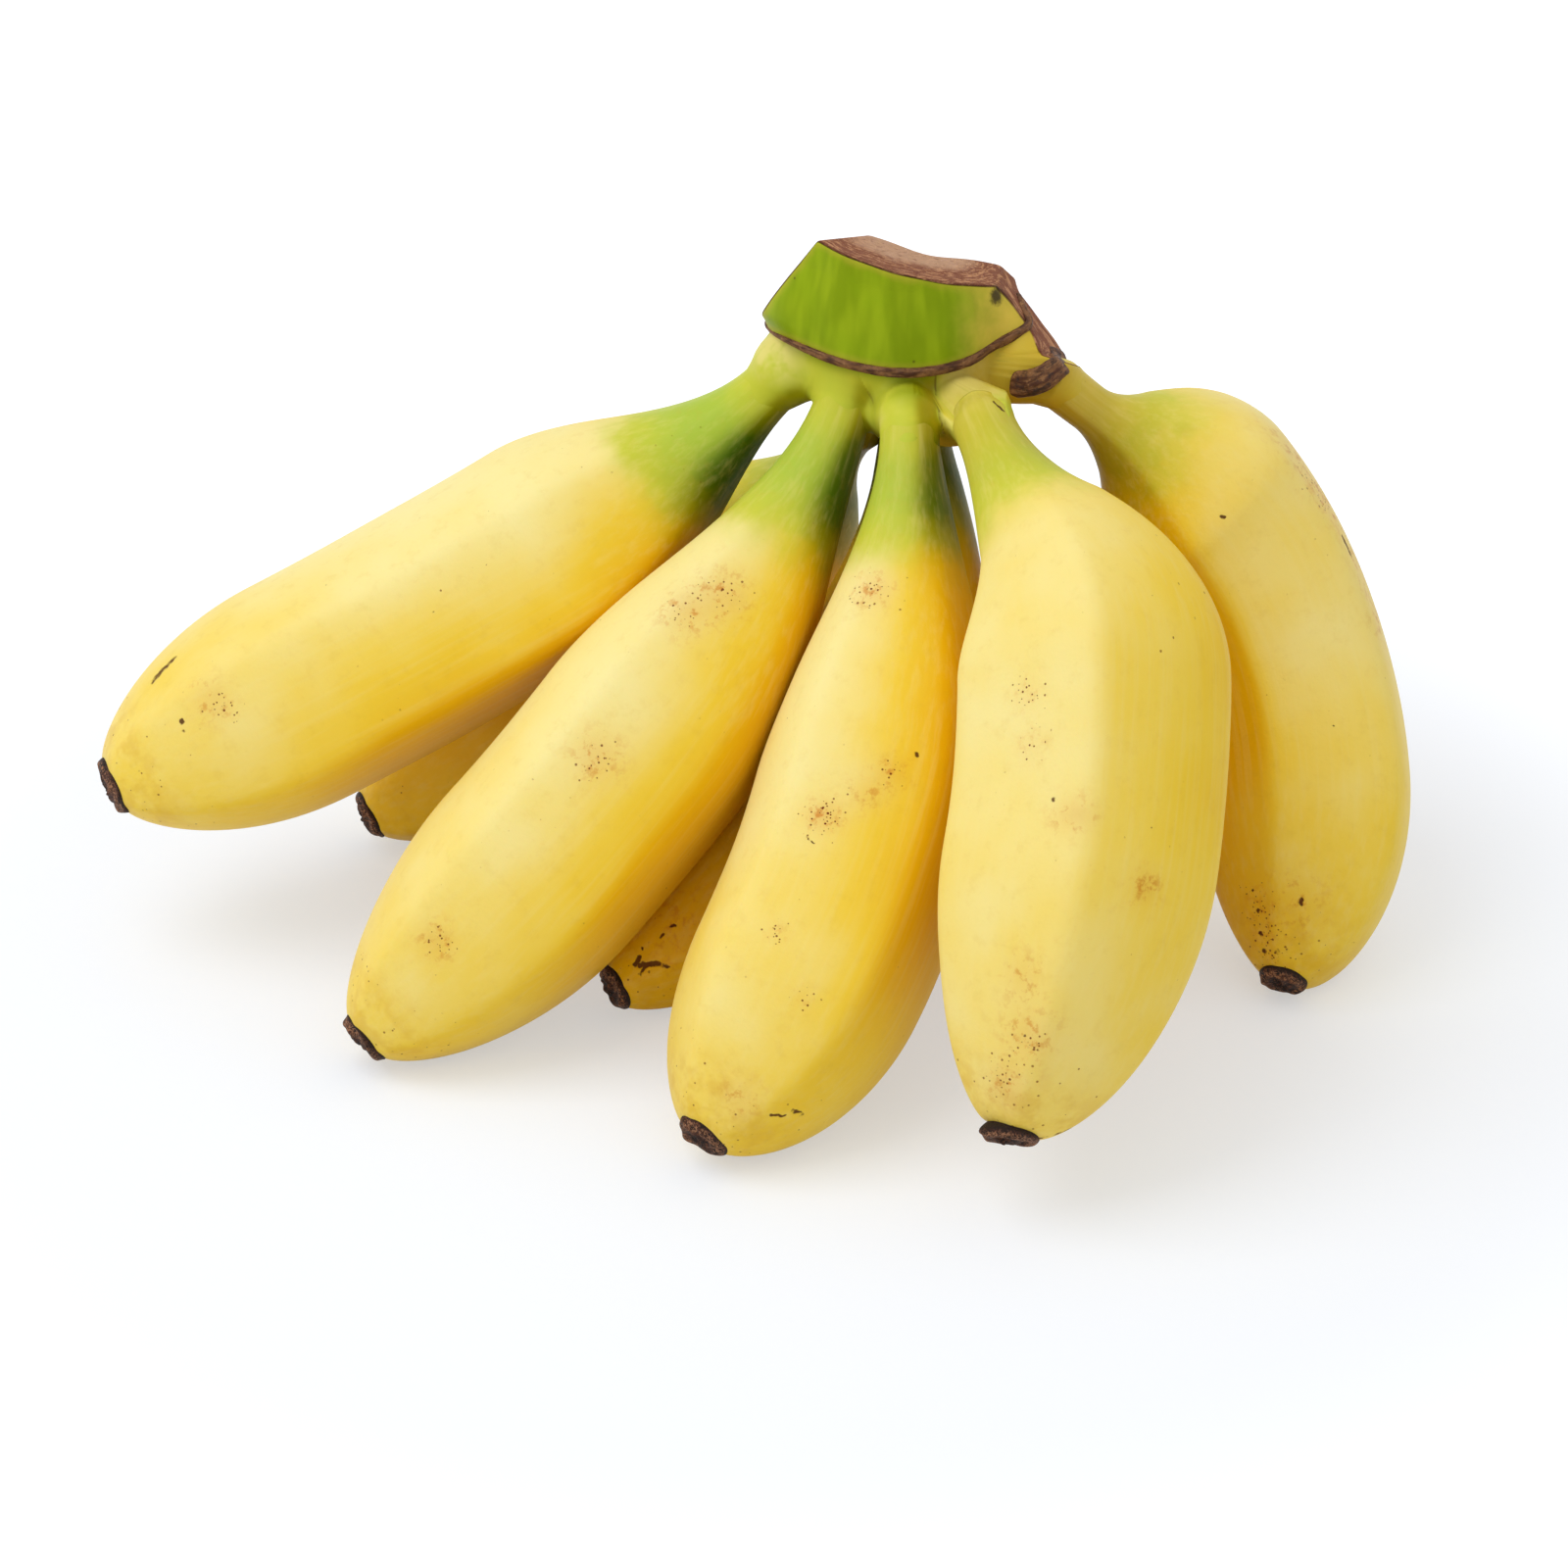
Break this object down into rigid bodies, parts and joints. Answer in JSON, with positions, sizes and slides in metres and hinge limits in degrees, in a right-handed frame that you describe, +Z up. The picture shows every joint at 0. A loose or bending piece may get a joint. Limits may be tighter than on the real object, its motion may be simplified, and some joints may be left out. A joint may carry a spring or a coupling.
{
  "type": "hand of baby bananas",
  "caption": "Hand of short, plump, ripe bananas in two rows, joined by their stalks at one trimmed crown and lying on their tips.",
  "frame": {"origin": "on the surface the hand lies on, under the middle of its bounding box", "axes": "+X along the row of fruits, +Z up, -Y towards the front row's tips"},
  "size_m": [0.1877, 0.1314, 0.1033],
  "materials": {
    "peel": "satin, waxy ripe banana peel, green at the neck, with small brown specks",
    "crown": "satin green and yellow stem skin",
    "dry_scar": "matt, dried brown fibre"
  },
  "bodies": {
    "root": {"crown": "crown", "banana_front_1": "peel", "banana_front_2": "peel", "banana_front_3": "peel", "banana_front_4": "peel", "banana_front_5": "peel", "banana_back_1": "peel", "banana_back_2": "peel", "banana_back_3": "peel"}
  },
  "joints": []
}
